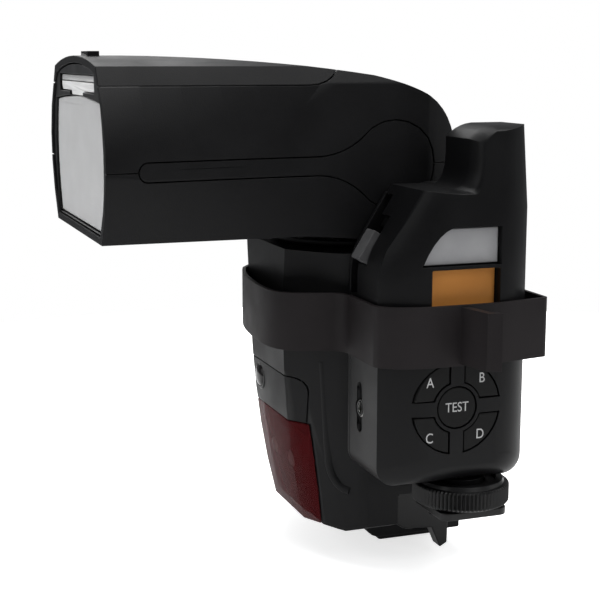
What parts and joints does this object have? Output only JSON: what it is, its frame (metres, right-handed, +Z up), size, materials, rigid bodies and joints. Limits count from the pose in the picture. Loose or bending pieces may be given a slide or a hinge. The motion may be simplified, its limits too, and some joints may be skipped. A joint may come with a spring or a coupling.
{
  "type": "speedlight flash",
  "caption": "Tilting and swivelling flash head on a shoe-mount body, with a radio trigger box held to its side by a flat rubber strap.",
  "frame": {"origin": "centre of the underside of the flash's shoe foot", "axes": "-Y where the head points at rest, +X to the side that carries the trigger, +Z up, out of the foot"},
  "size_m": [0.1073, 0.1081, 0.1388],
  "materials": {
    "casing": "fine spark-eroded texture, satin",
    "dark_trim": "smooth moulded, satin",
    "keys": "smooth moulded with pale printed legends",
    "rubber": "moulded silicone rubber, satin",
    "frosted_pane": "frosted diffusing lens sheet",
    "white_card": "white card plastic, matt",
    "wide_panel": "clear ribbed plastic",
    "red_window": "deep red translucent plastic, polished",
    "dark_window": "smoked plastic, polished",
    "pilot_lamp": "clear milky plastic",
    "reflector": "bright anodised reflector",
    "tube_glass": "clear glass",
    "steel": "turned steel",
    "motor_can": "drawn steel can",
    "cell_wrap": null,
    "capacitor_sleeve": "shrink sleeve",
    "board": "solder-masked fibreglass board",
    "screen": "liquid-crystal panel",
    "contacts": "gold-flashed brass",
    "grey_window": "satin grey plastic",
    "orange_display": "amber display film"
  },
  "bodies": {
    "flash_body": {"body_front_shell": "casing", "body_rear_shell": "casing", "front_cover": "casing", "foot_block": "casing", "trigger_back_shell": "casing", "trigger_front_shell": "casing", "shoe_plate": "dark_trim", "strap": "rubber", "af_window": "red_window", "light_sensor": "dark_window", "display_window": "dark_window", "trigger_foot": "steel", "trigger_jack": "steel", "battery_1": "cell_wrap", "battery_2": "cell_wrap", "battery_3": "cell_wrap", "battery_4": "cell_wrap", "capacitor": "capacitor_sleeve", "main_board": "board", "trigger_board": "board", "display_panel": "screen", "contact_pins": "contacts", "trigger_panel": "grey_window", "trigger_display": "orange_display"},
    "battery_door": {"battery_door": "casing"},
    "select_dial": {"select_dial": "dark_trim"},
    "set_button": {"set_button": "casing"},
    "button_mode": {"button_mode": "dark_trim"},
    "button_zoom": {"button_zoom": "dark_trim"},
    "button_light": {"button_light": "dark_trim"},
    "pilot_button": {"pilot_button": "pilot_lamp"},
    "power_switch": {"power_switch": "dark_trim"},
    "lock_lever": {"lock_lever": "casing"},
    "socket_cover": {"socket_cover": "rubber"},
    "bounce_card": {"bounce_card": "white_card"},
    "wide_panel": {"wide_panel": "wide_panel"},
    "tilt_release_button": {"tilt_release_button": "dark_trim"},
    "key_a": {"key_a": "keys"},
    "key_b": {"key_b": "keys"},
    "key_c": {"key_c": "keys"},
    "key_d": {"key_d": "keys"},
    "test_button": {"test_button": "keys"},
    "mode_switch": {"mode_switch": "grey_window"},
    "lock_wheel": {"lock_wheel": "dark_trim"},
    "zoom_screw": {"zoom_screw": "steel"},
    "neck": {"neck_turntable": "dark_trim", "tilt_axle": "steel"},
    "head": {"head_lower_shell": "casing", "head_upper_shell": "casing", "head_top_cover": "casing", "pivot_cover_right": "casing", "pivot_cover_left": "casing", "head_front_frame": "dark_trim", "lens_pane": "frosted_pane", "zoom_motor": "motor_can"},
    "zoom_carriage": {"zoom_carriage": "dark_trim", "reflector": "reflector", "flash_tube": "tube_glass"}
  },
  "joints": [
    {"name": "head_swivel", "type": "hinge", "parent": "flash_body", "child": "neck", "pos_m": [0, -0.0145, 0.088], "axis": [0, 0, 1], "range_deg": [-180, 0]},
    {"name": "head_tilt", "type": "hinge", "parent": "neck", "child": "head", "pos_m": [0, -0.0145, 0.1096], "axis": [-1, 0, 0], "range_deg": [-7, 90]},
    {"name": "zoom_screw_turn", "type": "hinge", "parent": "head", "child": "zoom_screw", "pos_m": [0.0246, -0.06, 0.106], "axis": [0, 1, 0], "range_deg": [0, 1440]},
    {"name": "zoom_slide", "type": "slide", "parent": "head", "child": "zoom_carriage", "axis": [0, -1, 0], "range_m": [0, 0.008]},
    {"name": "bounce_card_slide", "type": "slide", "parent": "head", "child": "bounce_card", "axis": [0, -1, 0], "range_m": [0, 0.036]},
    {"name": "wide_panel_slide", "type": "slide", "parent": "head", "child": "wide_panel", "axis": [0, -1, 0], "range_m": [0, 0.034]},
    {"name": "tilt_release_button_press", "type": "slide", "parent": "head", "child": "tilt_release_button", "axis": [1, 0, 0], "range_m": [0, 0.0008], "stiffness_N_per_m": 250, "springref_m": -0.0006},
    {"name": "battery_door_hinge", "type": "hinge", "parent": "flash_body", "child": "battery_door", "pos_m": [-0.032, 0.00955, 0.036], "axis": [0, 0, -1], "range_deg": [0, 110]},
    {"name": "socket_cover_hinge", "type": "hinge", "parent": "flash_body", "child": "socket_cover", "pos_m": [-0.0305, -0.0254, 0.049], "axis": [0, 0, -1], "range_deg": [0, 70]},
    {"name": "select_dial_turn", "type": "hinge", "parent": "flash_body", "child": "select_dial", "pos_m": [0, 0.0158, 0.0235], "axis": [0, 1, 0], "continuous": true},
    {"name": "set_button_press", "type": "slide", "parent": "flash_body", "child": "set_button", "axis": [0, -1, 0], "range_m": [0, 0.0008], "stiffness_N_per_m": 250, "springref_m": -0.0006},
    {"name": "button_mode_press", "type": "slide", "parent": "flash_body", "child": "button_mode", "axis": [0, -1, 0], "range_m": [0, 0.0008], "stiffness_N_per_m": 250, "springref_m": -0.0006},
    {"name": "button_zoom_press", "type": "slide", "parent": "flash_body", "child": "button_zoom", "axis": [0, -1, 0], "range_m": [0, 0.0008], "stiffness_N_per_m": 250, "springref_m": -0.0006},
    {"name": "button_light_press", "type": "slide", "parent": "flash_body", "child": "button_light", "axis": [0, -1, 0], "range_m": [0, 0.0008], "stiffness_N_per_m": 250, "springref_m": -0.0006},
    {"name": "pilot_button_press", "type": "slide", "parent": "flash_body", "child": "pilot_button", "axis": [0, -1, 0], "range_m": [0, 0.0008], "stiffness_N_per_m": 250, "springref_m": -0.0006},
    {"name": "power_switch_slide", "type": "slide", "parent": "flash_body", "child": "power_switch", "axis": [1, 0, 0], "range_m": [0, 0.005]},
    {"name": "lock_lever_turn", "type": "hinge", "parent": "flash_body", "child": "lock_lever", "pos_m": [0.0225, -0.006, 0.0146], "axis": [1, 0, 0], "range_deg": [0, 25]},
    {"name": "key_a_press", "type": "slide", "parent": "flash_body", "child": "key_a", "axis": [-1, 0, 0], "range_m": [0, 0.0008], "stiffness_N_per_m": 250, "springref_m": -0.0006},
    {"name": "key_b_press", "type": "slide", "parent": "flash_body", "child": "key_b", "axis": [-1, 0, 0], "range_m": [0, 0.0008], "stiffness_N_per_m": 250, "springref_m": -0.0006},
    {"name": "key_c_press", "type": "slide", "parent": "flash_body", "child": "key_c", "axis": [-1, 0, 0], "range_m": [0, 0.0008], "stiffness_N_per_m": 250, "springref_m": -0.0006},
    {"name": "key_d_press", "type": "slide", "parent": "flash_body", "child": "key_d", "axis": [-1, 0, 0], "range_m": [0, 0.0008], "stiffness_N_per_m": 250, "springref_m": -0.0006},
    {"name": "test_button_press", "type": "slide", "parent": "flash_body", "child": "test_button", "axis": [-1, 0, 0], "range_m": [0, 0.0008], "stiffness_N_per_m": 250, "springref_m": -0.0006},
    {"name": "mode_switch_slide", "type": "slide", "parent": "flash_body", "child": "mode_switch", "axis": [0, 0.5268, 0.85], "range_m": [0, 0.0045]},
    {"name": "lock_wheel_turn", "type": "hinge", "parent": "flash_body", "child": "lock_wheel", "pos_m": [0.0475, -0.0022, 0.027], "axis": [0, 0, 1], "range_deg": [0, 450]}
  ],
  "couplings": [
    {"joint": "zoom_screw_turn", "follows": "zoom_slide", "rad_per_m": 3141.6}
  ]
}
